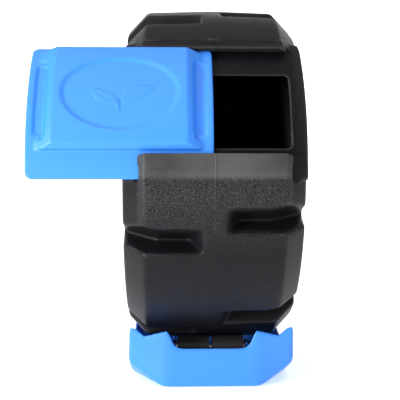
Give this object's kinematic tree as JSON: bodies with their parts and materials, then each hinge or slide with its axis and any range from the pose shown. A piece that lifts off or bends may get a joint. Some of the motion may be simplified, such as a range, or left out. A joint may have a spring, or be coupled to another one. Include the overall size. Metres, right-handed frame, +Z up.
{
  "type": "compost tumbler",
  "caption": "Wheel-shaped drum composter with staggered tread pockets and a curved sliding door, turning on rollers in a low cradle tray.",
  "frame": {"origin": "centre of the flat underside of the base tray, straight below the middle of the drum", "axes": "+Z up, +X along the drum's turning axis (the door opens towards -X), -Y is the front where the door and mouth are"},
  "size_m": [0.521, 0.7199, 0.787],
  "materials": {
    "black_shell": "satin, moulded grain",
    "blue_shell": "satin",
    "black_trim": "fine grain",
    "roller_plastic": "semi-gloss",
    "bush_plastic": "natural acetal",
    "zinc_steel": "zinc plated",
    "seal_rubber": "matte",
    "screen_mesh": "woven mesh"
  },
  "bodies": {
    "base": {"base_tray": "blue_shell", "front_axle": "zinc_steel", "rear_axle": "zinc_steel", "roller_washers": "zinc_steel", "axle_push_nuts": "zinc_steel", "saddle_clips": "black_trim", "drain_gasket": "seal_rubber"},
    "drum": {"drum_shell": "black_shell", "left_vent_cap": "black_trim", "right_vent_cap": "black_trim", "left_vent_screen": "screen_mesh", "right_vent_screen": "screen_mesh"},
    "door": {"sliding_door": "blue_shell"},
    "front_left_wheel": {"front_left_roller": "roller_plastic", "front_left_bushes": "bush_plastic"},
    "front_right_wheel": {"front_right_roller": "roller_plastic", "front_right_bushes": "bush_plastic"},
    "rear_left_wheel": {"rear_left_roller": "roller_plastic", "rear_left_bushes": "bush_plastic"},
    "rear_right_wheel": {"rear_right_roller": "roller_plastic", "rear_right_bushes": "bush_plastic"},
    "drain_bung": {"drain_cap": "black_trim"}
  },
  "joints": [
    {"name": "drum_spin", "type": "hinge", "parent": "base", "child": "drum", "pos_m": [0, 0, 0.427], "axis": [1, 0, 0], "continuous": true},
    {"name": "door_slide", "type": "slide", "parent": "drum", "child": "door", "axis": [-1, 0, 0], "range_m": [-0.175, 0.12]},
    {"name": "front_left_roll", "type": "hinge", "parent": "base", "child": "front_left_wheel", "pos_m": [-0.036, -0.13146, 0.06583], "axis": [1, 0, 0], "continuous": true},
    {"name": "front_right_roll", "type": "hinge", "parent": "base", "child": "front_right_wheel", "pos_m": [0.036, -0.13146, 0.06583], "axis": [1, 0, 0], "continuous": true},
    {"name": "rear_left_roll", "type": "hinge", "parent": "base", "child": "rear_left_wheel", "pos_m": [-0.036, 0.13146, 0.06583], "axis": [1, 0, 0], "continuous": true},
    {"name": "rear_right_roll", "type": "hinge", "parent": "base", "child": "rear_right_wheel", "pos_m": [0.036, 0.13146, 0.06583], "axis": [1, 0, 0], "continuous": true},
    {"name": "drain_turn", "type": "hinge", "parent": "base", "child": "drain_bung", "pos_m": [0, 0.214, 0.032], "axis": [0, 1, 0], "range_deg": [0, 90]}
  ],
  "couplings": [
    {"joint": "front_left_roll", "follows": "drum_spin", "ratio": -15},
    {"joint": "front_right_roll", "follows": "drum_spin", "ratio": -15},
    {"joint": "rear_left_roll", "follows": "drum_spin", "ratio": -15},
    {"joint": "rear_right_roll", "follows": "drum_spin", "ratio": -15}
  ]
}
